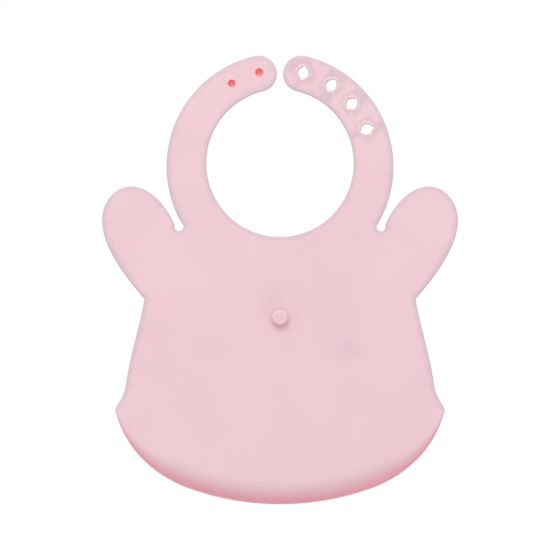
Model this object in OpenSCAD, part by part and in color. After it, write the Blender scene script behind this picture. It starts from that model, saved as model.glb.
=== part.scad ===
// Silicone bib: a flat moulded sheet with a neck opening, two buttoning straps,
// two ear-shaped side flaps and a catcher pocket along its lower edge.
// X runs across the bib, +Y is the wearer's side (back) and +Z is up.
// The origin is the centre of the neck opening, at mid thickness.

/* [Sheet] */
// Thickness of the silicone sheet
sheet_t = 2; // [1.6:0.1:2.4]
// Clearance left between two neighbouring regions that bend
bend_gap = 0.3; // [0.2:0.05:0.5]
// Height of the line on which the sheet folds between chest and lap
fold_z = -114; // [-116:0.5:-112]

/* [Neck and straps] */
// Radius of the neck opening
neck_r = 49.4; // [47:0.1:52]
// Radius of the straps' outer edge
strap_r = 76; // [74:0.1:77]
// Drop of the outer edge's centre below the neck centre
strap_drop = 2.3; // [1:0.1:4]
// Angle of the straps' rounded ends above the horizontal
strap_end = 76.6; // [75:0.1:77]
// Angle of the bend at the foot of each strap
strap_foot = -8; // [-12:1:-4]
// Radius of the row of pegs and holes
row_r = 62.4; // [61:0.1:64]

/* [Fastening] */
// Radius of a strap hole
hole_r = 3.5; // [3.3:0.1:3.7]
// Distance of a strap hole's two points from its centre
slit_half = 4.9; // [4.7:0.1:5.1]
// Half width of the lip round a strap hole
lip_half = 6.6; // [6.4:0.1:6.8]
// Height that the lip stands proud of each face
lip_proud = 0.4; // [0.3:0.1:0.8]
// Radius of a peg's neck
peg_r = 2.9; // [2.7:0.1:3.1]
// Radius of a peg's head
peg_head_r = 4.3; // [4:0.1:4.6]
// Height that a peg stands out of the front face
peg_h = 5; // [4.5:0.1:6]
// Radius of the open recess in a peg
recess_r = 2.4; // [2.2:0.1:2.4]
// Radius of the storage button's head
button_r = 5.4; // [5:0.1:6]
// Height of the storage button's centre
button_z = -103.7; // [-104:0.1:-102]

/* [Pocket] */
// Half width of the pocket at its corners
pocket_half = 111; // [108:0.5:114]
// Height of the pocket's rim
rim_z = -165.4; // [-168:0.1:-163]
// Depth of the pocket, front to back, at its middle
pocket_d = 42; // [36:1:46]
// Radius of the round edge between the back and the pocket's floor
floor_round = 15; // [12:1:16]
// Height of the thick bead along the rim
rim_h = 4; // [3:0.5:5]
// Thickness of the bead along the rim
rim_t = 3.6; // [3:0.1:4.5]

/* [Front prints] */
// Radius of each round spot
spot_r = 7; // [5:0.5:8]
// Distance of the round spots from the middle of the bib
spot_x = 48.6; // [40:0.1:55]
// Height of the round spots
spot_z = -127; // [-130:0.5:-126]
// Height of the middle spot
middle_spot_z = -150.6; // [-153:0.1:-148]
// Thickness of the prints
print_t = 0.4; // [0.3:0.1:0.6]

/* [Hidden] */
$fn = 96;

PINK = [0.94, 0.80, 0.83];
DEEP = [0.85, 0.45, 0.48];
PRINT = [0.80, 0.62, 0.68];
half_t = sheet_t / 2;
bend_room = half_t + bend_gap;
far = 400;

// Angles of the holes up the strap, and the bends halfway between two of them
hole_at = [21.2, 39.5, 56.5, 75.5];
peg_at = [58.8, 77.1];
bend_low = (hole_at[0] + hole_at[1]) / 2;
bend_high = (hole_at[2] + hole_at[3]) / 2;

// Ear: slot end, top, widest point and the corner with the panel's side
ear_slot = [69.5, -43.5];
ear_top = [100.5, -15.6];
ear_wide = [119.2, -38];
ear_corner = [90.8, -91];
ear_lean = atan2(ear_corner.x - ear_slot.x, ear_slot.y - ear_corner.y);
slot_end = [67.6, -42.6];
slot_r = 3;
// Angles between which the sheet's own outline follows the straps' outer edge
shoulder_to = -31.5;
shoulder_from = 10;
// How far lower_panel's outline starts above the fold, and how far cutters overrun
above_fold = 10;
over = 3;

// The pocket's outline: a flat bottom arc, a rounder one and a corner one, each
// tangent to the next. sweep_n is the angle from straight down where arc n ends.
flare = [103.4, -149.3];
bottom_z = -228.5;
sweep_1 = 19.65;
sweep_2 = 41.57;
arc_r = [181.4, 84.4, 70.5];
arc_1 = [0, bottom_z + arc_r[0]];
arc_2 = arc_1 + (arc_r[0] - arc_r[1]) * [sin(sweep_1), -cos(sweep_1)];
arc_3 = arc_2 + (arc_r[1] - arc_r[2]) * [sin(sweep_2), -cos(sweep_2)];
sweep_3 = 90 - asin((arc_3.y - rim_z) / arc_r[2]);

// Seen from above, the pocket's front is one arc from corner to corner
front_r = (pocket_half * pocket_half + pocket_d * pocket_d) / (2 * pocket_d);
front_y = front_r - pocket_d;
// The front swings about a line along the middle of the pocket's floor
swing_y = -20;
swing_z = -222;
swing_r = 26;
front_half = 80;
// Width of the seam in which the ends of the pocket's floor and front join
seam = 0.3;

function bezier(a, b, c, d, n = 16) = [
    for (i = [0:n - 1])
        let (t = i / n, s = 1 - t)
            s * s * s * a + 3 * s * s * t * b + 3 * s * t * t * c + t * t * t * d
];
function arc(c, r, from, to, n = 24) = [
    for (i = [0:n])
        let (a = from + (to - from) * i / n)
            c + r * [cos(a), sin(a)]
];
function outer_reach(a) =
    sqrt(strap_r * strap_r - strap_drop * strap_drop * cos(a) * cos(a)) - strap_drop * sin(a);

// A flat outline, drawn in X and Z, made into a block that straddles the sheet
module block(depth = far) {
    rotate([90, 0, 0]) linear_extrude(depth, center = true) children();
}

// Half a sheet with a round nose on the axis that points at angle a, for bending
module nosed_sheet(a) {
    rotate([0, -a, 0]) rotate([90, 0, 90]) linear_extrude(2 * far, center = true) {
        circle(half_t);
        translate([-half_t, 0]) square([sheet_t, far]);
    }
}

// All of the plane that lies further round than the ray at angle a
module beyond(a, shift = 0) {
    rotate(a) translate([-far, shift]) square(2 * far);
}

// One strap with its rounded end, on the +X side
module strap_outline() {
    reach = outer_reach(strap_end);
    difference() {
        translate([0, -strap_drop]) circle(strap_r);
        circle(neck_r);
        beyond(strap_end);
        rotate(strap_end - 180) translate([0, -far]) square(2 * far);
        translate([-far, -far]) square([far, 2 * far]);
    }
    rotate(strap_end) translate([(reach + neck_r) / 2, 0]) circle((reach - neck_r) / 2);
}

// The part of a strap between the bends at angles a and b
module strap_piece(a, b) {
    intersection() {
        block() difference() {
            strap_outline();
            beyond(b, -bend_room);
            children();
        }
        nosed_sheet(a);
    }
}

// A rhombus with its corners on the row's circle and ray, and with full sides
module lip_outline() {
    side_reach = lip_half * 0.86;
    circle(side_reach);
    rotate(45) square(lip_half * sqrt(2), center = true);
}

module at_row(a) {
    rotate(a) translate([row_r, 0]) children();
}

// A round hole with a point at each end, whose sides are tangent to the circle
module hole_outline() {
    turn = acos(hole_r / slit_half);
    touch = hole_r * [cos(turn), sin(turn)];
    circle(hole_r);
    polygon([
        [slit_half, 0], touch, [-touch.x, touch.y],
        [-slit_half, 0], -touch, [touch.x, -touch.y]
    ]);
}

module hole_lip(a) {
    color(PINK) mirror([1, 0, 0]) block(sheet_t + 2 * lip_proud) at_row(a) difference() {
        lip_outline();
        hole_outline();
    }
}

module peg_strap_piece(a, b, pegs) {
    color(PINK) strap_piece(a, b) {
        for (p = pegs) at_row(p) circle(peg_r);
    }
}

module hole_strap_piece(a, b, holes) {
    color(PINK) mirror([1, 0, 0]) strap_piece(a, b) {
        for (h = holes) at_row(h) lip_outline();
    }
}

// A hollow mushroom peg, open at the back and standing out of the front face
module peg(a) {
    head_h = 2.2;
    end_wall = 1;
    neck_h = sheet_t + peg_h - head_h;
    color(DEEP) rotate([0, -a, 0]) translate([row_r, half_t, 0]) rotate([90, 0, 0]) difference() {
        union() {
            cylinder(h = neck_h, r = peg_r);
            translate([0, 0, neck_h]) cylinder(h = head_h, r1 = peg_head_r, r2 = peg_r);
        }
        translate([0, 0, -over]) cylinder(h = neck_h - end_wall + over, r = recess_r);
    }
}

// A mushroom stud on the back, which holds the rolled bib closed
module storage_button() {
    stem_h = 1.6;
    stem_r = button_r * 0.62;
    brim_h = 1.3;
    crown_h = 1.3;
    crown_r = button_r * 0.7;
    color(PINK) translate([0, half_t, button_z]) rotate([-90, 0, 0]) {
        cylinder(h = stem_h, r = stem_r);
        translate([0, 0, stem_h]) cylinder(h = brim_h, r = button_r);
        translate([0, 0, stem_h + brim_h]) cylinder(h = crown_h, r1 = button_r, r2 = crown_r);
    }
}

// The ear's edge from the slot over the top to the corner with the panel's side,
// and half a thickness past its bend
module ear_outline() {
    inward = -half_t * [cos(ear_lean), sin(ear_lean)];
    polygon(concat(
        [ear_slot + inward],
        bezier(ear_slot, [74, -33], [84, -15.6], ear_top),
        bezier(ear_top, [110.5, -15.6], [119.2, -26.5], ear_wide),
        bezier(ear_wide, [119.2, -56], [104, -76], ear_corner),
        [ear_corner, ear_corner + inward]
    ));
}

module ear() {
    color(PINK) intersection() {
        block() ear_outline();
        translate([ear_slot.x, 0, ear_slot.y]) rotate([0, 90 - ear_lean, 0]) nosed_sheet(0);
    }
}

// The strip that the panel gives up along the ear's bend
module ear_bend() {
    translate(ear_slot) rotate(ear_lean - 90) translate([-over, -bend_room])
        square([norm(ear_corner - ear_slot) + 2 * over, bend_room + over]);
}

// The bottom edge from the right corner to the middle, drawn inset from the outline
function floor_edge(inset) = concat(
    arc(arc_3, arc_r[2] - inset, sweep_3 - 90, sweep_2 - 90),
    arc(arc_2, arc_r[1] - inset, sweep_2 - 90, sweep_1 - 90),
    arc(arc_1, arc_r[0] - inset, sweep_1 - 90, -90)
);
// Both halves of an outline whose +X half is given from top to bottom
function both_halves(p) = concat(p, [for (i = [len(p) - 1:-1:0]) if (p[i].x > 0.01) [-p[i].x, p[i].y]]);

half_edge = concat(
    arc([0, -strap_drop], strap_r, shoulder_from, shoulder_to),
    [slot_end, ear_slot],
    bezier(ear_corner, [93.5, -108], [100.5, -128], flare),
    bezier(flare, [104, -156], [109.5, -161.5], [pocket_half, rim_z], 8)
);

module panel_outline() {
    difference() {
        polygon(both_halves(concat(half_edge, floor_edge(0))));
        circle(neck_r);
    }
}

module chest_panel() {
    color(PINK) block(sheet_t) difference() {
        panel_outline();
        for (side = [0, 1]) mirror([side, 0]) {
            translate(slot_end) circle(slot_r);
            beyond(strap_foot, -bend_room);
            ear_bend();
        }
        translate([-far, fold_z + bend_room - 2 * far]) square(2 * far);
    }
}

// The ring inside the outline, one floor radius wide, where the round edge takes over
module round_edge() {
    for (side = [0, 1]) mirror([side, 0]) {
        ring_sector(arc_1, arc_r[0], 0, sweep_1);
        ring_sector(arc_2, arc_r[1], sweep_1, sweep_2);
    }
}

module ring_sector(c, r, from, to) {
    polygon(concat(
        arc(c, r - floor_round, from - 90, to - 90),
        arc(c, r + over, to - 90, from - 90)
    ));
}

module lower_panel() {
    color(PINK) intersection() {
        block() difference() {
            panel_outline();
            translate([-far, fold_z + above_fold]) square(2 * far);
            round_edge();
        }
        translate([0, 0, fold_z]) mirror([0, 0, 1]) nosed_sheet(0);
    }
}

// Sweeps a section round arc c from one angle to another. The section's x is the
// distance outward from the outline and its y is the depth in front of the back face.
module sweep_floor(c, r, from, to) {
    translate([c.x, half_t, c.y]) rotate([90, 0, 0]) rotate(from - 90)
        rotate_extrude(angle = to - from) translate([r, 0]) children();
}

module rounded_section() {
    intersection() {
        difference() {
            translate([-floor_round, floor_round]) circle(floor_round);
            translate([-floor_round, floor_round]) circle(floor_round - sheet_t);
        }
        translate([-floor_round, 0]) square(floor_round);
    }
    translate([-sheet_t, floor_round]) square([sheet_t, pocket_d]);
}

module square_section() {
    translate([-sheet_t, sheet_t]) square([sheet_t, pocket_d]);
}

module front_column(r) {
    translate([0, front_y, bottom_z - over]) cylinder(h = rim_z - bottom_z + over, r = r);
}

// The pocket's upright front, one curved sheet standing inside its floor's edge
module pocket_wall(inset) {
    intersection() {
        difference() {
            front_column(front_r);
            front_column(front_r - sheet_t);
        }
        translate([0, -far / 2 - half_t, 0]) block() intersection() {
            polygon(both_halves(concat([[pocket_half, 0]], floor_edge(inset))));
            translate([-far, rim_z - far]) square([2 * far, far]);
        }
    }
}

module swing_cylinder(r) {
    translate([0, swing_y, swing_z]) rotate([0, 90, 0]) cylinder(h = far, r = r, center = true);
}

module middle_slab(half) {
    translate([-half, -far, -far]) cube([2 * half, 2 * far, 2 * far]);
}

// The middle of the pocket's floor, which turns forward in one round edge
module pocket_trough() {
    color(PINK) intersection() {
        sweep_floor(arc_1, arc_r[0], -sweep_1, sweep_1) rounded_section();
        front_column(front_r - seam);
    }
}

// The foot of the pocket's front, up to where the front swings
module pocket_foot() {
    color(PINK) intersection() {
        pocket_wall(sheet_t);
        swing_cylinder(swing_r);
        middle_slab(front_half);
    }
}

// One end of the floor, rising to the corner, with the front's end on it
module pocket_side() {
    color(PINK) {
        intersection() {
            union() {
                sweep_floor(arc_2, arc_r[1], sweep_1, sweep_2) rounded_section();
                sweep_floor(arc_3, arc_r[2], sweep_2, sweep_3) square_section();
            }
            front_column(front_r - seam);
        }
        intersection() {
            pocket_wall(seam);
            translate([front_half, -far, -far]) cube([far, 2 * far, 2 * far]);
        }
    }
}

module pocket_front() {
    color(PINK) difference() {
        intersection() {
            pocket_wall(sheet_t);
            middle_slab(front_half - bend_gap);
            translate([-far, -2 * far - floor_round, -far]) cube([2 * far, 2 * far, rim_z - rim_h + far]);
        }
        swing_cylinder(swing_r + bend_gap);
    }
}

module pocket_rim() {
    color(PINK) intersection() {
        translate([0, front_y, rim_z - rim_h]) rotate_extrude() translate([front_r - sheet_t / 2, 0]) {
            translate([-rim_t / 2, 0]) square([rim_t, rim_h - rim_t / 2]);
            translate([0, rim_h - rim_t / 2]) circle(rim_t / 2);
        }
        middle_slab(front_half - bend_gap);
        translate([-far, -2 * far, -far]) cube([2 * far, 2 * far, 2 * far]);
    }
}

module front_print() {
    color(PRINT) translate([0, -half_t - print_t / 2, 0]) block(print_t) children();
}

module side_spot() {
    front_print() translate([spot_x, spot_z]) circle(spot_r);
}

module middle_spot() {
    end_r = spot_r * 0.6;
    front_print() translate([0, middle_spot_z]) {
        for (side = [-1, 1]) translate([side * spot_r / 2, 0]) circle(end_r);
        translate([-spot_r / 2, -end_r]) square([spot_r, 2 * end_r]);
    }
}

chest_panel();
lower_panel();
ear();  // left_ear
mirror([1, 0, 0]) ear();  // right_ear
peg_strap_piece(strap_foot, bend_low, []);  // peg_strap_lower
peg_strap_piece(bend_low, bend_high, [peg_at[0]]);  // peg_strap_middle
peg_strap_piece(bend_high, 180, [peg_at[1]]);  // peg_strap_tip
hole_strap_piece(strap_foot, bend_low, [hole_at[0]]);  // hole_strap_lower
hole_strap_piece(bend_low, bend_high, [hole_at[1], hole_at[2]]);  // hole_strap_middle
hole_strap_piece(bend_high, 180, [hole_at[3]]);  // hole_strap_tip
peg(peg_at[0]);  // inner_peg
peg(peg_at[1]);  // outer_peg
hole_lip(hole_at[0]);  // hole_lip_1
hole_lip(hole_at[1]);  // hole_lip_2
hole_lip(hole_at[2]);  // hole_lip_3
hole_lip(hole_at[3]);  // hole_lip_4
storage_button();
pocket_trough();
pocket_foot();
pocket_side();  // pocket_left_side
mirror([1, 0, 0]) pocket_side();  // pocket_right_side
pocket_front();
pocket_rim();
side_spot();  // left_spot
mirror([1, 0, 0]) side_spot();  // right_spot
middle_spot();
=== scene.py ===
import math

import bmesh
import bpy
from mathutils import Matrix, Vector, noise
from mathutils.geometry import delaunay_2d_cdt


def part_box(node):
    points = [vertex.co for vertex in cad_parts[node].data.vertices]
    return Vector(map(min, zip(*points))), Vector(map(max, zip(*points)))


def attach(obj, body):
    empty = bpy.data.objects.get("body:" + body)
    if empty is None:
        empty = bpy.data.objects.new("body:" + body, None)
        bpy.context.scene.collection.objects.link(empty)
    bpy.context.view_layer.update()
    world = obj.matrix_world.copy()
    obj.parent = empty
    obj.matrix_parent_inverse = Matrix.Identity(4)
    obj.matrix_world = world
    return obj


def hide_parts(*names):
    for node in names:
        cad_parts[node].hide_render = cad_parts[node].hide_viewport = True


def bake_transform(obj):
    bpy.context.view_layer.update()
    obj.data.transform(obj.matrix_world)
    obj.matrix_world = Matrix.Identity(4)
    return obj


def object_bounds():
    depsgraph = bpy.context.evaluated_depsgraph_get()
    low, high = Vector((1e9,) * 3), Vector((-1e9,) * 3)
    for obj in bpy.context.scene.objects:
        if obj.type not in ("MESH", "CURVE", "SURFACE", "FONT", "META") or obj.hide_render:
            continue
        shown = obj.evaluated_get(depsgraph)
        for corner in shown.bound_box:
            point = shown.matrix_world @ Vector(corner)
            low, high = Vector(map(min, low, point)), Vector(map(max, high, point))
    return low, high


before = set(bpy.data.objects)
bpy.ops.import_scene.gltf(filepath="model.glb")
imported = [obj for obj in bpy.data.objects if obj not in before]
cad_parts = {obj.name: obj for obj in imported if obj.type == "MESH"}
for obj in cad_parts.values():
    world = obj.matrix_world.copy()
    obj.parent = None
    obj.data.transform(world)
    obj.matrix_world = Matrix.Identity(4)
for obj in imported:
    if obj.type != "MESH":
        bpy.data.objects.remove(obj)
CAD_BOX = [list(p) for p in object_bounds()]

# Everything below is in millimetres until a mesh is made. X and Z span the sheet.
MM = 0.001
HALF = 1.0  # half the sheet's thickness
EDGE_R = 0.8  # rounding of the sheet's edges
NECK_R = 49.4
STRAP_R, STRAP_DROP, STRAP_END = 76.0, 2.3, 76.6
ROW_R = 62.4
HOLES = (21.2, 39.5, 56.5, 75.5)
PEGS = (58.8, 77.1)
BENDS = (-8.0, 30.35, 66.0)
STRAP_SEAMS = (-16.0, 11.0, 48.0)
EAR_SLOT, EAR_TOP, EAR_WIDE, EAR_CORNER = (69.5, -43.5), (100.5, -15.6), (119.2, -38.0), (90.8, -91.0)
SLOT_END, SLOT_R = (67.6, -42.6), 3.0
FLARE = (103.4, -149.3)
# The two handles of each curve of the outline, from the pocket's corner upward
FLARE_HANDLES = (109.2, -161.5), (104.0, -156.0)
SIDE_HANDLES = (100.5, -128.0), (93.5, -108.0)
EAR_LOW_HANDLES = (104.0, -76.0), (119.2, -56.0)
EAR_TIP_HANDLES = (119.2, -26.5), (110.5, -15.6)
EAR_IN_HANDLES = (84.0, -15.6), (74.0, -33.0)
SLOT_FROM, SLOT_TO, STRAP_FROM = 22, -201, -30.4  # where the slot's end and the strap's edge start and stop
RIM_Z, BOTTOM_Z, POCKET_D = -165.4, -228.5, 42.0
ARC_R, SWEEPS = (181.4, 84.4, 70.5), (19.65, 41.57)
LAP_SEAM_Z, FOLD_Z, FOLD_REACH = -108.0, -114.0, 5
SHOULDER_R, SHOULDER_Z = 79, -45  # the ears lie outside this radius, the chest below this height
GRID = 4.2
ROW_GAP, CLEAR = 0.866, 0.62  # the grid's row spacing and its least distance to edges, in grid steps
SPREAD_X, SPREAD_TOP, POCKET_X = 122, 75, 112  # how far the grids are laid
CUT_STEPS = 24
HOLE_R, HOLE_TIP, LIP_R = 3.5, 4.9, 6.6
LIP_CUT_R, PEG_CUT_R = 5.2, 2.6
TURN_POINTS = 10  # points on the pocket's back edge, one every 10 degrees


def polar(r, a, c=(0.0, 0.0)):
    """The point at radius r and angle a, in degrees, from c."""
    return (c[0] + r * math.cos(math.radians(a)), c[1] + r * math.sin(math.radians(a)))


def bezier(a, b, c, d, n):
    """Points on a cubic from a to d, without a and with d."""
    out = []
    for i in range(1, n + 1):
        t = i / n
        s = 1 - t
        k = (s**3, 3 * s * s * t, 3 * s * t * t, t**3)
        out.append(tuple(sum(w * p[j] for w, p in zip(k, (a, b, c, d))) for j in (0, 1)))
    return out


def smooth(x):
    x = min(max(x, 0.0), 1.0)
    return x * x * (3 - 2 * x)


def wave(x, z):
    """How far the moulded sheet stands off its plane, the same for every piece."""
    low = noise.noise(Vector((x / 62, z / 74, 1.7)))
    high = noise.noise(Vector((x / 27, z / 33, 5.1)))
    return 0.55 * low + 0.16 * high


ARC_1 = (0.0, BOTTOM_Z + ARC_R[0])
ARC_2 = polar(ARC_R[0] - ARC_R[1], SWEEPS[0] - 90, ARC_1)
ARC_3 = polar(ARC_R[1] - ARC_R[2], SWEEPS[1] - 90, ARC_2)
CORNER_A = -math.degrees(math.asin((ARC_3[1] - RIM_Z) / ARC_R[2]))
CORNER = polar(ARC_R[2], CORNER_A, ARC_3)
HINGE = Vector((EAR_CORNER[0] - EAR_SLOT[0], EAR_CORNER[1] - EAR_SLOT[1])).normalized()
OUTWARD = Vector((-HINGE.y, HINGE.x))
NOTCH_A = -38.9  # where the ear's hinge line leaves the slot's end


def outer_reach(a):
    """Distance from the neck's centre to the strap's outer edge at angle a."""
    c, s = math.cos(math.radians(a)), math.sin(math.radians(a))
    return math.sqrt(STRAP_R**2 - (STRAP_DROP * c) ** 2) - STRAP_DROP * s


def angles(a, b, step, marks=()):
    """From a to b in steps, with every mark among them."""
    n = max(2, round(abs(b - a) / step))
    out = [a + (b - a) * i / n for i in range(n + 1)]
    for m in marks:
        if min(a, b) < m < max(a, b):
            near = min(range(1, n), key=lambda i: abs(out[i] - m))
            out[near] = m
    return out


def half_outline():
    """The +X edge from the pocket's corner to the middle of the neck, counterclockwise."""
    p = [CORNER]
    p += bezier(CORNER, *FLARE_HANDLES, FLARE, 10)
    p += bezier(FLARE, *SIDE_HANDLES, EAR_CORNER, 28)
    p += bezier(EAR_CORNER, *EAR_LOW_HANDLES, EAR_WIDE, 30)
    p += bezier(EAR_WIDE, *EAR_TIP_HANDLES, EAR_TOP, 18)
    last = bezier(EAR_TOP, *EAR_IN_HANDLES, EAR_SLOT, 26)
    p += [q for q in last if math.dist(q, SLOT_END) > SLOT_R + 0.4]
    p += [polar(SLOT_R, a, SLOT_END) for a in angles(SLOT_FROM, SLOT_TO, 18, (NOTCH_A,))]
    p += [polar(outer_reach(a), a) for a in angles(STRAP_FROM, STRAP_END, 1.7, STRAP_SEAMS)]
    reach = outer_reach(STRAP_END)
    middle = polar((reach + NECK_R) / 2, STRAP_END)
    cap = angles(STRAP_END, STRAP_END + 180, 9)[1:-1]
    p += [polar((reach - NECK_R) / 2, a, middle) for a in cap]
    p += [polar(NECK_R, a) for a in angles(STRAP_END, -90, 2.1, STRAP_SEAMS)]
    return p


def unit(x, y):
    d = math.hypot(x, y)
    return (x / d, y / d)


def normals(loop):
    """Inward direction at each point of a counterclockwise loop."""
    out = []
    n = len(loop)
    for i, (x, y) in enumerate(loop):
        a, b = loop[i - 1], loop[(i + 1) % n]
        u, v = unit(x - a[0], y - a[1]), unit(b[0] - x, b[1] - y)
        out.append(unit(-u[1] - v[1], u[0] + v[0]))
    return out


def within(loop, q):
    """Whether a point lies inside a closed loop."""
    hit = False
    x, z = q
    for i in range(len(loop)):
        (x0, z0), (x1, z1) = loop[i - 1], loop[i]
        if (z0 > z) != (z1 > z) and x < x0 + (z - z0) * (x1 - x0) / (z1 - z0):
            hit = not hit
    return hit


def index_of(loop, q):
    """The number of the loop's point at q."""
    i = min(range(len(loop)), key=lambda k: math.dist(loop[k], q))
    assert math.dist(loop[i], q) < 0.2, q
    return i


def seam_ends(side):
    """The seams of one side as pairs of edge points, and the inward direction at each end."""
    for a in STRAP_SEAMS:
        for r, d in ((outer_reach(a), -1), (NECK_R, 1)):
            x, z = polar(r, a)
            u = polar(1, a)
            yield (side * x, z), (side * d * u[0], d * u[1])
    x, z = polar(SLOT_R, NOTCH_A, SLOT_END)
    yield (side * x, z), (side * HINGE.x, HINGE.y)
    yield (side * EAR_CORNER[0], EAR_CORNER[1]), (-side * HINGE.x, -HINGE.y)
    yield (side * CORNER[0], CORNER[1]), (-side, 0)


def sheet_plan():
    """The whole sheet in plan down to the rim line: points, triangles, edge loops."""
    right = half_outline()
    loop = right + [(-x, z) for x, z in reversed(right[:-1])]
    inward = normals(loop)
    lap_ends = []
    for side in (1, -1):
        for q, d in seam_ends(side):
            inward[index_of(loop, q)] = d
        near = [k for k, (x, z) in enumerate(loop) if x * side > 80]
        k = min(near, key=lambda k: abs(loop[k][1] - LAP_SEAM_Z))
        inward[k] = (-side, 0)
        lap_ends.append(k)
    loops = [(loop, inward)]
    cuts = [(polar(ROW_R, a), PEG_CUT_R) for a in PEGS]
    cuts += [((-polar(ROW_R, a)[0], polar(ROW_R, a)[1]), LIP_CUT_R) for a in HOLES]
    for c, r in cuts:
        ring = [polar(r, -a, c) for a in range(0, 360, 360 // CUT_STEPS)]
        loops.append((ring, normals(ring)))

    points, rim, edges = [], [], []
    for loop_points, loop_in in loops:
        first = len(points)
        n = len(loop_points)
        for (x, z), (dx, dz) in zip(loop_points, loop_in):
            points.append((x + EDGE_R * dx, z + EDGE_R * dz))
            rim.append((x, z))
        edges += [(first + i, first + (i + 1) % n) for i in range(n)]
    count = len(points)
    outline = points[: len(loop)]

    def seam(i, j):
        a, b = points[i], points[j]
        n = max(1, round(math.dist(a, b) / GRID))
        ids = [i]
        for k in range(1, n):
            points.append((a[0] + (b[0] - a[0]) * k / n, a[1] + (b[1] - a[1]) * k / n))
            ids.append(len(points) - 1)
        ids.append(j)
        edges.extend(zip(ids, ids[1:]))

    for side in (1, -1):
        found = [index_of(loop, q) for q, d in seam_ends(side)]
        for a, b in zip(found[:-1:2], found[1::2]):
            seam(a, b)
    seam(*lap_ends)
    corners = sorted(index_of(loop, (side * CORNER[0], CORNER[1])) for side in (1, -1))
    edges = [e for e in edges if set(e) != set(corners)]
    seam(*corners)

    fixed = list(points)
    cell = {}
    for q in fixed:
        cell.setdefault((int(q[0] // GRID), int(q[1] // GRID)), []).append(q)

    def clear(q):
        i, j = int(q[0] // GRID), int(q[1] // GRID)
        near = [p for di in (-1, 0, 1) for dj in (-1, 0, 1) for p in cell.get((i + di, j + dj), [])]
        return all(math.dist(p, q) > GRID * CLEAR for p in near)

    def inside(q):
        return within(outline, q) and all(math.dist(q, c) > r + EDGE_R / 2 for c, r in cuts)

    row = 0
    z = RIM_Z + GRID / 2
    while z < SPREAD_TOP:
        x = -SPREAD_X + (row % 2) * GRID / 2
        while x < SPREAD_X:
            if clear((x, z)) and inside((x, z)):
                points.append((x, z))
            x += GRID
        z += GRID * ROW_GAP
        row += 1
    made = delaunay_2d_cdt([Vector(p) for p in points], edges, [], 0, 1e-5, True)
    verts, tris, source = made[0], made[2], made[3]
    where = [s[0] if s else -1 for s in source]
    assert len(verts) == len(points) and -1 not in where, "the plan's points merged"
    plan = [tuple(points[k]) for k in where]
    kept = []
    for t in tris:
        c = (sum(plan[k][0] for k in t) / 3, sum(plan[k][1] for k in t) / 3)
        if inside(c):
            kept.append(([where[k] for k in t], c))
    return points, kept, rim, count


def region(x, z):
    """The name of the piece that a point of the sheet belongs to."""
    side = "peg" if x > 0 else "hole"
    x = abs(x)
    if math.hypot(x, z) > SHOULDER_R and (Vector((x, z)) - Vector(EAR_SLOT)).dot(OUTWARD) > 0:
        return "left_ear_skin" if side == "peg" else "right_ear_skin"
    if z < LAP_SEAM_Z:
        return "lap_skin"
    a = math.degrees(math.atan2(z, x))
    if a < STRAP_SEAMS[0] or z < SHOULDER_Z:
        return "chest_skin"
    k = sum(a > s for s in STRAP_SEAMS) - 1
    return f"{side}_strap_skin_{k + 1}"


def show_through(x, z):
    """How strongly the printed front shows through the back at a place."""

    def patch(cx, cz, w, h):
        return 1 - smooth(math.hypot((x - cx) / w, (z - cz) / h) - 0.35)

    blotch = 0.65 + 0.7 * noise.noise(Vector((x / 9, z / 9, 3.3)))
    sides = patch(math.copysign(46, x), -126, 15, 10)
    above_stud = 0.7 * patch(0, -92, 20, 22)
    middle = patch(0, -151.5, 8, 5)
    return blotch * max(above_stud, sides, middle)


def finish_mesh(name, bm, material, edge_of=None):
    """Turns a bmesh in millimetres into an object, with its rest place kept for the material."""
    bmesh.ops.recalc_face_normals(bm, faces=bm.faces)
    tag = bm.verts.layers.float.get("edge") or bm.verts.layers.float.new("edge")
    show = bm.verts.layers.float.new("show")
    bm.verts.layers.float.get("deep") or bm.verts.layers.float.new("deep")
    rest = bm.verts.layers.float_vector.new("rest")
    for v in bm.verts:
        v[rest] = v.co * MM
        if v.co.y > 0.5:
            v[show] = show_through(v.co.x, v.co.z)
        if edge_of:
            v[tag] = edge_of(v.co)
        v.co *= MM
    mesh = bpy.data.meshes.new(name)
    bm.to_mesh(mesh)
    bm.free()
    obj = bpy.data.objects.new(name, mesh)
    bpy.context.collection.objects.link(obj)
    mesh.materials.append(material)
    return obj


def flat(faces):
    """Shades caps flat, with no effect on the shading of the faces round them."""
    for f in faces:
        f.smooth = False
        for e in f.edges:
            e.smooth = False


RIM_PAINTED_SHADE = 0.55  # how much of the painted shade on the rounded edge reaches the flat face beside it
PROFILE = [(math.sin(math.radians(a)), math.cos(math.radians(a))) for a in (30, 60, 90)]


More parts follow.
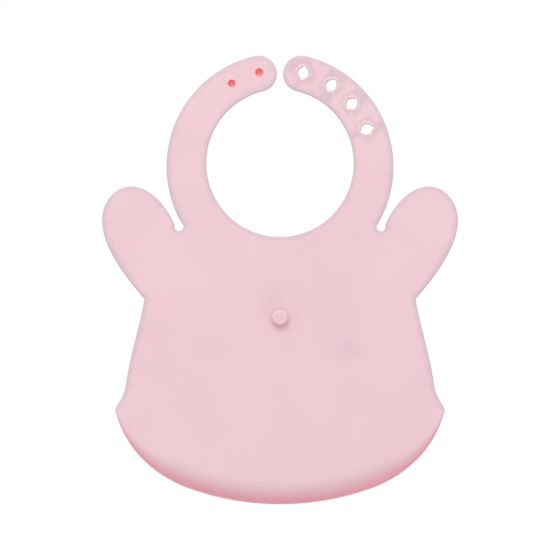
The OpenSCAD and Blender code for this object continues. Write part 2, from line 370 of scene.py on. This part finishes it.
def sheet_piece(name, tris, points, rim, count, material):
    """One region of the sheet: two faces, a rounded outer edge and plain caps at its seams."""
    bm = bmesh.new()
    tag = bm.verts.layers.float.new("edge")
    back, front, side = {}, {}, {}

    def vert(x, z, y, t=0.0):
        v = bm.verts.new((x, y + wave(x, z), z))
        v[tag] = t
        return v

    def ring(k):
        if k not in side:
            (bx, bz), (px, pz) = points[k], rim[k]
            down = [(s, EDGE_R * c + HALF - EDGE_R) for s, c in PROFILE]
            down += [(s, -y) for s, y in reversed(down)]
            # The rounded edge is painted with shade, rising to full at its outermost point.
            side[k] = [
                vert(bx + (px - bx) * s, bz + (pz - bz) * s, y, RIM_PAINTED_SHADE + (1 - RIM_PAINTED_SHADE) * s)
                for s, y in down
            ]
        return side[k]

    used = {}
    for t in tris:
        for k in t:
            if k not in back:
                x, z = points[k]
                t0 = RIM_PAINTED_SHADE if k < count and k not in PEG_POINTS else 0.0
                back[k], front[k] = vert(x, z, HALF, t0), vert(x, z, -HALF, t0)
        bm.faces.new([back[k] for k in t]).smooth = True
        bm.faces.new([front[k] for k in reversed(t)]).smooth = True
        for i in range(3):
            a, b = t[i], t[(i + 1) % 3]
            used.setdefault(frozenset((a, b)), []).append((a, b))
    seam_side = {}
    caps = []
    for pair, uses in used.items():
        if len(uses) > 1:
            continue
        a, b = uses[0]
        if (pair in EDGE_PAIRS) and a < count and b < count:
            one = [back[a], *ring(a), front[a]]
            two = [back[b], *ring(b), front[b]]
            for i in range(len(one) - 1):
                bm.faces.new((one[i + 1], two[i + 1], two[i], one[i])).smooth = True
        else:
            caps.append(bm.faces.new((front[a], front[b], back[b], back[a])))
            for k in (a, b):
                if k < count:
                    seam_side[k] = True
    for k in seam_side:
        caps.append(bm.faces.new([back[k], *ring(k), front[k]]))
    flat(caps)
    return finish_mesh(name, bm, material)


# ------------------------------------------------------------------ pocket
BACK_ROUND, BACK_SHARE = 14.2, 0.55  # fullest back rounding, and its share of a shallow pocket's depth
FRONT_ROUND, FRONT_SHARE = 13.2, 0.42
WALL = 2.0
BEAD_H, BEAD_HALF, BEAD_RUN = 4.0, 1.8, 16  # the rim's bead and its run-out to the corners
FRONT_R = (CORNER[0] ** 2 + POCKET_D**2) / (2 * POCKET_D)


def depth(x):
    """The pocket's whole depth at a place across it, from the back face to the front's outer face."""
    rise = math.sqrt(FRONT_R**2 - min(abs(x), CORNER[0]) ** 2) - (FRONT_R - POCKET_D)
    return 2 * HALF + (POCKET_D - HALF) * rise / POCKET_D


def pocket_line():
    """The pocket's outline from corner to corner under the bottom: point and inward direction."""
    half = []
    joins = (CORNER_A, SWEEPS[1] - 90, SWEEPS[0] - 90, -90)
    spans = zip((ARC_3, ARC_2, ARC_1), reversed(ARC_R), joins, joins[1:], (2.0, 1.7, 0.8))
    for c, r, a, b, step in spans:
        steps = angles(a, b, step)[:-1]
        if not half:
            steps = [a, a - 0.35, a - 0.8, a - 1.4, *steps[1:]]
        half += [(polar(r, k, c), polar(-1, k)) for k in steps]
    half[0] = (half[0][0], (-1.0, 0.0))
    left = [((-p[0], p[1]), (-d[0], d[1])) for p, d in reversed(half)]
    return half + [((0.0, BOTTOM_Z), (0.0, 1.0))] + left


def pocket_section(p, d):
    """The pocket's closed section at one place on its outline, from the back ring to the front ring."""
    deep = depth(p[0])
    beyond = deep - 2 * HALF
    back_r = EDGE_R + min(BACK_ROUND, BACK_SHARE * beyond)
    front_r = EDGE_R + min(FRONT_ROUND, FRONT_SHARE * beyond)
    wall = min(WALL, back_r, front_r)
    front_t = min(WALL, 0.8 * beyond)
    room = beyond - front_t
    in_back, in_front = (max(0.0, min(r - wall, 0.45 * room)) for r in (back_r, front_r))

    def inward(u, y):
        return (p[0] + u * d[0], y, p[1] + u * d[1])

    def face(u):
        return HALF - depth(p[0] + u * d[0])

    out = []
    for i in range(TURN_POINTS):
        a = math.radians(10 * i)
        out.append(inward(back_r * (1 - math.sin(a)), HALF - back_r * (1 - math.cos(a))))
    lo, hi = HALF - back_r, HALF - deep + front_r
    out += [inward(0, lo + (hi - lo) * i / 5) for i in range(1, 5)]
    for i in range(0, 9):
        a = math.radians(90 * i / 8)
        u = front_r * (1 - math.cos(a))
        out.append(inward(u, face(u) + front_r * (1 - math.sin(a))))
    x, y, z = out[-1]
    tall = RIM_Z - z
    bead_h = min(BEAD_H, 0.5 * tall)
    swell = smooth((CORNER[0] - abs(x)) / BEAD_RUN) * smooth(tall / 14)
    bead = front_t / 2 + (BEAD_HALF - front_t / 2) * swell
    top_r = min(bead, bead_h / 2)
    middle = y + front_t / 2
    out += [(x, y, z + (tall - bead_h) * i / 9) for i in range(1, 10)]
    edge = [(bead, -0.8 * bead_h), (bead, -top_r)]
    edge += [(bead * math.cos(a), -top_r * (1 - math.sin(a))) for a in (math.pi / 6, math.pi / 3)]
    out += [(x, middle - h, RIM_Z + dz) for h, dz in edge]
    out.append((x, middle, RIM_Z))
    out += [(x, middle + h, RIM_Z + dz) for h, dz in reversed(edge)]
    u = wall + in_front
    x1, y1, z1 = inward(u, face(u) + front_t)
    y0, z0 = y + front_t, RIM_Z - bead_h
    dx, dy, dz = x1 - x, y1 - y0, z1 - z0
    out += [(x + dx * i / 9, y0 + dy * i / 9, z0 + dz * i / 9) for i in range(0, 10)]
    for i in range(5, -1, -1):
        a = math.radians(90 * i / 6)
        u = wall + in_front * (1 - math.cos(a))
        out.append(inward(u, face(u) + front_t + in_front * (1 - math.sin(a))))
    lo, hi = HALF - deep + front_t + in_front, -HALF - in_back
    out += [inward(wall, lo + (hi - lo) * i / 5) for i in range(1, 5)]
    for i in range(0, 7):
        a = math.radians(90 * i / 6)
        out.append(inward(wall + in_back * (1 - math.cos(a)), -HALF - in_back * (1 - math.sin(a))))
    out.append(inward(back_r, -HALF))
    return out


# Painted shade, as a deep tint, at each point of the back edge's turn
ROUND_PAINTED_SHADE = (0.0, 0.0, 0.05, 0.12, 0.24, 0.42, 0.6, 0.68, 0.64, 0.5)


def pocket_skin(material):
    """The whole pocket below the rim line: back, round edge, floor, front and rim bead, hollow inside."""
    bm = bmesh.new()
    tag = bm.verts.layers.float.new("edge")
    deep = bm.verts.layers.float.new("deep")
    rows = [pocket_section(p, d) for p, d in pocket_line()]

    def vert(q, t=0.0, d=0.0):
        v = bm.verts.new((q[0], q[1] + wave(q[0], q[2]), q[2]))
        v[tag] = t
        v[deep] = d
        return v

    def tints(k):
        """Painted shade at one point of a section, as edge and deep tint: deepest along the outline's turn,
        where it turns from the light.
        """
        if k < TURN_POINTS:
            return 0.5 * smooth((k - 7) / 2), ROUND_PAINTED_SHADE[k]
        past = 1 - smooth((k - 9) / 4)
        return 0.5 * past, 0.15 + 0.35 * past - 0.15 * smooth((k - 12) / 14)

    grid = [[vert(q, *tints(k)) for k, q in enumerate(row)] for row in rows]
    # The pocket's end sections take the rim's painted shade as well.
    for row in (grid[0], grid[-1]):
        for v in row:
            v[tag] = max(v[tag], RIM_PAINTED_SHADE)
    for a, b in zip(grid, grid[1:]):
        for k in range(len(a) - 1):
            bm.faces.new((a[k], a[k + 1], b[k + 1], b[k])).smooth = True
    ring = [(row[0][0], row[0][2]) for row in rows]
    n = len(ring)
    points = list(ring)
    a, b = ring[0], ring[-1]
    steps = round(math.dist(a, b) / GRID)
    top = [0]
    for k in range(1, steps):
        points.append((a[0] + (b[0] - a[0]) * k / steps, RIM_Z))
        top.append(len(points) - 1)
    top.append(n - 1)
    edges = [(i, i + 1) for i in range(n - 1)] + list(zip(top, top[1:]))

    row = 0
    z = RIM_Z - GRID * 0.75
    while z > BOTTOM_Z:
        x = -POCKET_X + (row % 2) * GRID / 2
        while x < POCKET_X:
            q = (x, z)
            if within(ring, q) and all(math.dist(q, p) > GRID * CLEAR for p in ring):
                points.append(q)
            x += GRID
        z -= GRID * ROW_GAP
        row += 1
    made = delaunay_2d_cdt([Vector(p) for p in points], edges, [], 0, 1e-5, True)
    where = [s[0] for s in made[3]]
    back, front = {}, {}
    for i in range(n):
        back[i], front[i] = grid[i][0], grid[i][-1]
    for t in made[2]:
        t = [where[k] for k in t]
        c = (sum(points[k][0] for k in t) / 3, sum(points[k][1] for k in t) / 3)
        if not within(ring, c):
            continue
        for k in t:
            if k not in back:
                x, z = points[k]
                back[k], front[k] = vert((x, HALF, z)), vert((x, -HALF, z))
        bm.faces.new([back[k] for k in t]).smooth = True
        bm.faces.new([front[k] for k in reversed(t)]).smooth = True
    bmesh.ops.remove_doubles(bm, verts=bm.verts, dist=0.004)
    open_edges = [e for e in bm.edges if len(e.link_faces) == 1]
    caps = bmesh.ops.holes_fill(bm, edges=open_edges, sides=0)["faces"]
    flat(caps)
    return finish_mesh("pocket_skin", bm, material)


# ------------------------------------------------------------------ small parts
def revolve(name, section, centre, material, steps=48, edge_of=None, painted_shade_of=None):
    """A closed turned piece about the Y axis through centre, from (radius, y) points."""
    bm = bmesh.new()
    deep = bm.verts.layers.float.new("deep")
    lift = wave(centre[0], centre[1])
    rows = []
    for i in range(steps):
        a = 2 * math.pi * i / steps
        c, s = math.cos(a), math.sin(a)
        rows.append([bm.verts.new((centre[0] + r * c, y + lift, centre[1] + r * s)) for r, y in section])
        # Painted shade for each point, where a function for it is given.
        if painted_shade_of:
            for v, (r, y) in zip(rows[-1], section):
                v[deep] = painted_shade_of(r, y, s)
    for i in range(steps):
        a, b = rows[i], rows[(i + 1) % steps]
        for k in range(len(section) - 1):
            bm.faces.new((a[k], a[k + 1], b[k + 1], b[k])).smooth = True
    bmesh.ops.remove_doubles(bm, verts=bm.verts, dist=0.002)
    return finish_mesh(name, bm, material, edge_of)


def fillet(r0, y0, r1, y1, bulge, n=5):
    """A quarter ellipse between two section points. bulge 1 keeps y first, 0 keeps r first."""
    out = []
    for i in range(1, n + 1):
        a = math.pi / 2 * i / n
        s, c = math.sin(a), math.cos(a)
        k, m = (s, 1 - c) if bulge else (1 - c, s)
        out.append((r0 + (r1 - r0) * k, y0 + (y1 - y0) * m))
    return out


def hole_radius(a):
    """The slitted hole's edge at angle a from the radial direction: a circle with tangent points."""
    turn = math.acos(HOLE_R / HOLE_TIP)
    a = math.acos(abs(math.cos(a)))
    return HOLE_R / math.cos(turn - a) if a < turn else HOLE_R


LIP_POWER = 1.35  # 1 is a rhombus, 2 a circle
# The lip's section: share of the way out, height, edge tint (painted shade on the hole's wall and the lip's
# slope)
LIP_INNER = [(0, 0.0, 1), (0, 0.75, 1), (0.06, 1.05, 1), (0.2, 1.24, 0.6)]
LIP_OUTER = [(0.4, 1.31, 0.25), (0.6, 1.29, 0.1), (0.78, 1.2, 0.2), (0.9, 1.06, 0.3), (1.0, 0.92, 0.3)]


def lip_radius(a):
    """A rounded rhombus, longer along and across the strap than between."""
    c, s = abs(math.cos(a)), abs(math.sin(a))
    return LIP_R / (c**LIP_POWER + s**LIP_POWER) ** (1 / LIP_POWER)


def hole_lip(name, angle, material):
    """The soft raised rim of one strap hole, with the hole's own wall."""
    bm = bmesh.new()
    tag = bm.verts.layers.float.new("edge")
    cx, cz = polar(ROW_R, angle)
    lift = wave(-cx, cz)
    upper = LIP_INNER + LIP_OUTER
    section = upper + [(k, -y, t) for k, y, t in reversed(upper[1:])]
    rows = []
    steps = 72
    for i in range(steps):
        a = 2 * math.pi * i / steps
        r0, r1 = hole_radius(a), lip_radius(a)
        row = []
        for k, y, t in section:
            r = r0 + (r1 - r0) * k
            x, z = polar(r, math.degrees(a) + angle, (cx, cz))
            v = bm.verts.new((-x, y + lift, z))
            v[tag] = t
            row.append(v)
        rows.append(row)
    for i in range(steps):
        a, b = rows[i], rows[(i + 1) % steps]
        for k in range(len(section)):
            m = (k + 1) % len(section)
            bm.faces.new((a[k], a[m], b[m], b[k])).smooth = True
    return finish_mesh(name, bm, material)


ROUND_POWER, PILL_POWER = 2.0, 3.2
# The print from its buried wall to its face: share of the outline, y
PRINT_WALL = [(1.0, -0.7), (1.0, -1.12), (0.985, -1.3), (0.95, -1.38)]
PRINT_LEVELS = PRINT_WALL + [(0.8, -1.4), (0.5, -1.4), (0.2, -1.4)]


def spot(name, node, material):
    """A thin printed inlay on the front face, filling the CAD print's outline."""
    lo, hi = (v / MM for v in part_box(node))
    cx, cz = (lo.x + hi.x) / 2, (lo.z + hi.z) / 2
    w, h = (hi.x - lo.x) / 2, (hi.z - lo.z) / 2
    bm = bmesh.new()
    p = ROUND_POWER if abs(w - h) < 0.5 else PILL_POWER
    steps = 48
    rows = []
    for k, y in PRINT_LEVELS:
        row = []
        for i in range(steps):
            a = 2 * math.pi * i / steps
            c, s = math.cos(a), math.sin(a)
            r = 1 / (abs(c) ** p + abs(s) ** p) ** (1 / p)
            x, z = cx + w * k * r * c, cz + h * k * r * s
            row.append(bm.verts.new((x, y + wave(x, z), z)))
        rows.append(row)
    for a, b in zip(rows, rows[1:]):
        for i in range(steps):
            j = (i + 1) % steps
            bm.faces.new((a[i], a[j], b[j], b[i])).smooth = True
    bm.faces.new(rows[-1]).smooth = True
    bm.faces.new(list(reversed(rows[0]))).smooth = False
    return finish_mesh(name, bm, material)


# ------------------------------------------------------------------ materials
def linear(r, g, b):
    """An sRGB colour of 0 to 255 as linear RGBA."""
    def one(v):
        v /= 255
        return v / 12.92 if v <= 0.04045 else ((v + 0.055) / 1.055) ** 2.4

    return (one(r), one(g), one(b), 1.0)


SHOW_COLOUR, SHOW_MIX = linear(196, 160, 170), 0.13
# Painted shade: the darkest grey of the deep tint, on the pocket's outermost round edge.
DEEPEST_PAINTED_SHADE = linear(128, 92, 102)
COLOUR_A, COLOUR_B, COLOUR_OUT = 6, 7, 2  # the colour sockets of a mix node


def silicone(name, base, deep, edge, shade, rough=0.52, grain=0.05, edge_mix=0.66):
    """Matt moulded silicone: cloudy colour between base and deep, tinted edges, a fine satin grain.

    edge colours the rims: painted shade on the sheet's rounded edges, hole walls and lip slopes, and the
    sheet's own pink round a peg's back. shade is painted shade where the deep tint lies, on the pocket's
    round edge and under the stud's head.
    """
    mat = bpy.data.materials.new(name)
    mat.use_nodes = True
    nodes, links = mat.node_tree.nodes, mat.node_tree.links
    shader = nodes["Principled BSDF"]
    shader.inputs["IOR"].default_value = 1.41
    shader.inputs["Specular IOR Level"].default_value = 0.4
    shader.inputs["Sheen Weight"].default_value = 0.12
    shader.inputs["Sheen Roughness"].default_value = 0.5

    def node(kind, **sets):
        n = nodes.new(kind)
        for k, v in sets.items():
            if hasattr(n, k):
                setattr(n, k, v)
            else:
                n.inputs[k].default_value = v
        return n

    def mixed(factor, a, b):
        m = node("ShaderNodeMix", data_type="RGBA")
        links.new(factor, m.inputs["Factor"])
        for key, v in ((COLOUR_A, a), (COLOUR_B, b)):
            if isinstance(v, tuple):
                m.inputs[key].default_value = v
            else:
                links.new(v, m.inputs[key])
        return m.outputs[COLOUR_OUT]

    def ranged(value, a, b, lo, hi):
        m = node("ShaderNodeMapRange")
        m.interpolation_type = "SMOOTHSTEP"
        links.new(value, m.inputs["Value"])
        for k, v in (("From Min", a), ("From Max", b), ("To Min", lo), ("To Max", hi)):
            m.inputs[k].default_value = v
        return m.outputs["Result"]

    rest = node("ShaderNodeAttribute", attribute_name="rest")
    clouds = node("ShaderNodeTexNoise", Scale=17.0, Detail=2.0, Roughness=0.5)
    fine = node("ShaderNodeTexNoise", Scale=2600.0, Detail=2.0, Roughness=0.6)
    specks = node("ShaderNodeTexNoise", Scale=420.0, Detail=3.0, Roughness=0.6)
    for n in (clouds, fine, specks):
        links.new(rest.outputs["Vector"], n.inputs["Vector"])
    tag = node("ShaderNodeAttribute", attribute_name="edge")
    show = node("ShaderNodeAttribute", attribute_name="show")
    colour = mixed(ranged(clouds.outputs["Fac"], 0.3, 0.7, 0.0, 1.0), base, deep)
    colour = mixed(ranged(show.outputs["Fac"], 0.0, 1.0, 0.0, SHOW_MIX), colour, SHOW_COLOUR)
    painted_shade_tag = node("ShaderNodeAttribute", attribute_name="deep")
    # Painted shade: the deep tint darkens toward shade, and at its strongest toward the darkest grey.
    colour = mixed(painted_shade_tag.outputs["Fac"], colour, shade)
    colour = mixed(ranged(painted_shade_tag.outputs["Fac"], 0.8, 1.0, 0.0, 0.4), colour, DEEPEST_PAINTED_SHADE)
    # Painted shade where the edge tint is set; on the pegs this is the sheet's own pink instead.
    colour = mixed(ranged(tag.outputs["Fac"], 0.0, 1.0, 0.0, edge_mix), colour, edge)
    links.new(colour, shader.inputs["Base Color"])
    gloss = ranged(specks.outputs["Fac"], 0.25, 0.75, rough - 0.05, rough + 0.07)
    links.new(gloss, shader.inputs["Roughness"])
    bump = node("ShaderNodeBump", Strength=grain, Distance=0.0004)
    links.new(fine.outputs["Fac"], bump.inputs["Height"])
    links.new(bump.outputs["Normal"], shader.inputs["Normal"])
    return mat


# edge and shade here are painted shade: grey on the rounded edges and lips, deep pink on the pocket's round
# edge and the stud's lower rim.
PINK = silicone(
    "soft_pink_silicone",
    base=linear(242, 209, 216),
    deep=linear(239, 205, 213),
    edge=linear(190, 178, 184),
    shade=linear(250, 142, 165),
)
# Painted light: the coral stands in for pink light bounced round inside each peg's open back; the rim keeps
# the sheet's own pink.
PAINTED_BOUNCE_CORAL = silicone(
    "peg_silicone_painted_bounce",
    base=linear(255, 172, 168),
    deep=linear(252, 164, 162),
    edge=linear(244, 208, 215),
    shade=linear(232, 150, 158),
    rough=0.45,
    edge_mix=0.96,
)
INK = silicone(
    "rose_print_ink",
    base=linear(205, 148, 164),
    deep=linear(198, 140, 158),
    edge=linear(180, 128, 146),
    shade=linear(180, 128, 146),
    rough=0.6,
    grain=0.12,
)

# ------------------------------------------------------------------ the sheet's pieces
POINTS, TRIS, RIM, COUNT = sheet_plan()
OUTLINE_N = len(half_outline()) * 2 - 1
PEG_POINTS = set(range(OUTLINE_N, OUTLINE_N + CUT_STEPS * len(PEGS)))


def edge_pairs():
    """The neighbouring points along the outline and round each cut, without the line at the rim."""
    pairs = set()
    start = 0
    for size in [OUTLINE_N] + [CUT_STEPS] * (len(PEGS) + len(HOLES)):
        for i in range(size):
            pairs.add(frozenset((start + i, start + (i + 1) % size)))
        start += size
    pairs.discard(frozenset((0, OUTLINE_N - 1)))
    return pairs


EDGE_PAIRS = edge_pairs()

GROUPS = {}
for t, c in TRIS:
    GROUPS.setdefault(region(*c), []).append(t)
SKIN = {name: sheet_piece(name, t, POINTS, RIM, COUNT, PINK) for name, t in GROUPS.items()}


STRAP_SIDES = {"peg": 1, "hole": -1}
STRAP_NODES = ("lower", "middle", "tip")
for kind, side in STRAP_SIDES.items():
    for k, angle in enumerate(BENDS):
        piece = SKIN[f"{kind}_strap_skin_{k + 1}"]
        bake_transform(piece)
        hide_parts(f"{kind}_strap_{STRAP_NODES[k]}")

for name, side in (("left", 1), ("right", -1)):
    piece = SKIN[f"{name}_ear_skin"]
    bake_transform(piece)
    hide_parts(f"{name}_ear")

chest = SKIN["chest_skin"]
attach(chest, "chest")
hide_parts("chest_panel")

lap = SKIN["lap_skin"]
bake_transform(lap)
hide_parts("lower_panel")

pocket = pocket_skin(PINK)
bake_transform(pocket)
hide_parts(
    "pocket_trough",
    "pocket_foot",
    "pocket_left_side",
    "pocket_right_side",
    "pocket_front",
    "pocket_rim",
)

# ------------------------------------------------------------------ fastening
LIP_BODIES = ("hole_strap_foot", "hole_strap_mid", "hole_strap_mid", "hole_strap_end")
for k, (angle, body) in enumerate(zip(HOLES, LIP_BODIES), 1):
    lip = hole_lip(f"hole_lip_skin_{k}", angle, PINK)
    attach(lip, body)
    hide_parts(f"hole_lip_{k}")

# A peg from the bottom of its open back to the middle of its head, as radius and y
PEG_RECESS = [(0.0, -2.2), *fillet(0.0, -2.2, 2.1, -1.5, 1, 4), (2.4, -0.2), (2.5, 0.5)]
PEG_LIP = [*fillet(2.5, 0.5, 2.95, 1.1, 0, 5), (3.3, 1.07), (3.7, 0.9), (3.3, 0.4)]
PEG_STEM = [(2.95, -1.2), (2.9, -3.3), *fillet(2.9, -3.3, 3.2, -3.8, 0, 3), (3.7, -3.85)]
PEG_HEAD = [*fillet(3.7, -3.85, 4.2, -4.25, 1, 4), (3.95, -4.9), (3.5, -5.55)]
PEG_CROWN = [*fillet(3.5, -5.55, 2.7, -5.95, 0, 4), (1.4, -6.0), (0.0, -6.0)]
PEG = PEG_RECESS + PEG_LIP + PEG_STEM + PEG_HEAD + PEG_CROWN


def peg_rim(co):
    """The sheet's own pink round a peg's open back."""
    return smooth((co.y - 0.55) / 0.4)


for name, angle, body in (("inner", PEGS[0], "peg_strap_mid"), ("outer", PEGS[1], "peg_strap_end")):
    peg = revolve(f"{name}_peg_skin", PEG, polar(ROW_R, angle), PAINTED_BOUNCE_CORAL, edge_of=peg_rim)
    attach(peg, body)
    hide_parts(f"{name}_peg")

lo, hi = (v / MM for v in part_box("storage_button"))
BUTTON = ((lo.x + hi.x) / 2, (lo.z + hi.z) / 2)
BUTTON_R, BUTTON_Y = (hi.x - lo.x) / 2, hi.y
# The stud from its foot inside the sheet to the middle of its face, as radius and y
STUD_FOOT = [(0.0, 0.2), (4.6, 0.2), (4.3, 0.85), (3.75, 1.1), *fillet(3.75, 1.1, 3.35, 1.6, 1, 3)]
STUD_NECK = [(3.35, 2.1), *fillet(3.35, 2.1, 4.0, 2.55, 0, 3), (4.6, 2.6)]
STUD_HEAD = fillet(4.6, 2.6, BUTTON_R, 3.3, 1, 5) + fillet(BUTTON_R, 3.3, 3.9, BUTTON_Y - 0.1, 0, 7)
STUD_FACE = [(2.6, BUTTON_Y), (1.3, BUTTON_Y), (0.0, BUTTON_Y)]
STUD = STUD_FOOT + STUD_NECK + STUD_HEAD + STUD_FACE


def painted_shade_under_rim(r, y, s):
    """Painted shade on the rim of the stud's head, on its lower half only, for the shadow under the head.
    """
    return 0.9 * smooth(-1.4 * s) * smooth((r - 4.4) / 0.9)


# The stud's lower rim gets painted shade.
stud = revolve("storage_button_skin", STUD, BUTTON, PINK, steps=64, painted_shade_of=painted_shade_under_rim)
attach(stud, "chest")
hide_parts("storage_button")

for node in ("left_spot", "right_spot", "middle_spot"):
    printed = spot(f"{node}_skin", node, INK)
    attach(printed, "lap")
    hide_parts(node)

# ------------------------------------------------------------------ stage
FLOOR_DROP = 0.06
FLOOR_SIZE = 4.0
SEEN_FLOOR, FLOOR_GLOW = (0.8, 0.8, 0.8, 1), 0.22
BOUNCE_FLOOR = (0.62, 0.58, 0.6, 1)  # what the floor reflects onto the bib
WHITE = (1, 1, 1, 1)
SKY = {"From Min": -0.6, "From Max": 0.9, "To Min": 0.48, "To Max": 1.08}  # brightness by height
bm = bmesh.new()
bmesh.ops.create_grid(bm, x_segments=2, y_segments=2, size=FLOOR_SIZE)
mesh = bpy.data.meshes.new("floor")
bm.to_mesh(mesh)
bm.free()
floor = bpy.data.objects.new("floor", mesh)
bpy.context.collection.objects.link(floor)
floor.location.z = CAD_BOX[0][2] - FLOOR_DROP
paint = bpy.data.materials.new("pale_floor")
paint.use_nodes = True
fn, fl = paint.node_tree.nodes, paint.node_tree.links
fn.remove(fn["Principled BSDF"])
seen, unseen = fn.new("ShaderNodeBsdfDiffuse"), fn.new("ShaderNodeBsdfDiffuse")
glow, lit = fn.new("ShaderNodeEmission"), fn.new("ShaderNodeAddShader")
seen.inputs["Color"].default_value = SEEN_FLOOR
unseen.inputs["Color"].default_value = BOUNCE_FLOOR
glow.inputs["Strength"].default_value = FLOOR_GLOW
fl.new(seen.outputs["BSDF"], lit.inputs[0])
fl.new(glow.outputs["Emission"], lit.inputs[1])
ray, either = fn.new("ShaderNodeLightPath"), fn.new("ShaderNodeMixShader")
fl.new(ray.outputs["Is Camera Ray"], either.inputs["Fac"])
fl.new(unseen.outputs["BSDF"], either.inputs[1])
fl.new(lit.outputs["Shader"], either.inputs[2])
fl.new(either.outputs["Shader"], fn["Material Output"].inputs["Surface"])
mesh.materials.append(paint)

world = bpy.data.worlds.new("studio")
bpy.context.scene.world = world
world.use_nodes = True
wn, wl = world.node_tree.nodes, world.node_tree.links
background = wn["Background"]
where = wn.new("ShaderNodeTexCoord")
split = wn.new("ShaderNodeSeparateXYZ")
wl.new(where.outputs["Generated"], split.inputs["Vector"])
ramp = wn.new("ShaderNodeMapRange")
ramp.interpolation_type = "SMOOTHSTEP"
wl.new(split.outputs["Z"], ramp.inputs["Value"])
for key, value in SKY.items():
    ramp.inputs[key].default_value = value
wl.new(ramp.outputs["Result"], background.inputs["Strength"])
plain = wn.new("ShaderNodeBackground")
plain.inputs["Strength"].default_value = 1.0
plain.inputs["Color"].default_value = WHITE
path = wn.new("ShaderNodeLightPath")
mix = wn.new("ShaderNodeMixShader")
wl.new(path.outputs["Is Camera Ray"], mix.inputs["Fac"])
wl.new(background.outputs["Background"], mix.inputs[1])
wl.new(plain.outputs["Background"], mix.inputs[2])
wl.new(mix.outputs["Shader"], wn["World Output"].inputs["Surface"])
background.inputs["Color"].default_value = WHITE


def softbox(name, place, target, size, power):
    """A rectangular light at a place, aimed at a target."""
    light = bpy.data.lights.new(name, "AREA")
    light.shape = "RECTANGLE"
    light.size, light.size_y = size
    light.energy = power
    obj = bpy.data.objects.new(name, light)
    bpy.context.collection.objects.link(obj)
    obj.location = place
    aim = Vector(target) - Vector(place)
    obj.rotation_mode = "QUATERNION"
    obj.rotation_quaternion = aim.to_track_quat("-Z", "Y")
    return obj


MIDDLE = (0.0, 0.0, (CAD_BOX[0][2] + CAD_BOX[1][2]) / 2)
softbox("key_over_camera", (0.3, 1.0, 1.15), MIDDLE, (0.9, 0.5), 6.5)
softbox("fill_front", (-0.6, -1.1, 0.9), MIDDLE, (1.0, 0.8), 8.0)

FRAME_HEIGHT = 0.3752
CAMERA_PLACE = (0.0, 1.6, -0.0783)
cam_data = bpy.data.cameras.new("camera")
cam_data.type = "ORTHO"
cam_data.ortho_scale = FRAME_HEIGHT
cam = bpy.data.objects.new("camera", cam_data)
bpy.context.collection.objects.link(cam)
cam.location = CAMERA_PLACE
cam.rotation_mode = "QUATERNION"
cam.rotation_quaternion = Vector((0, -1, 0)).to_track_quat("-Z", "Y")
bpy.context.scene.camera = cam
bpy.context.scene.view_settings.view_transform = "Standard"
bpy.context.scene.view_settings.look = "None"
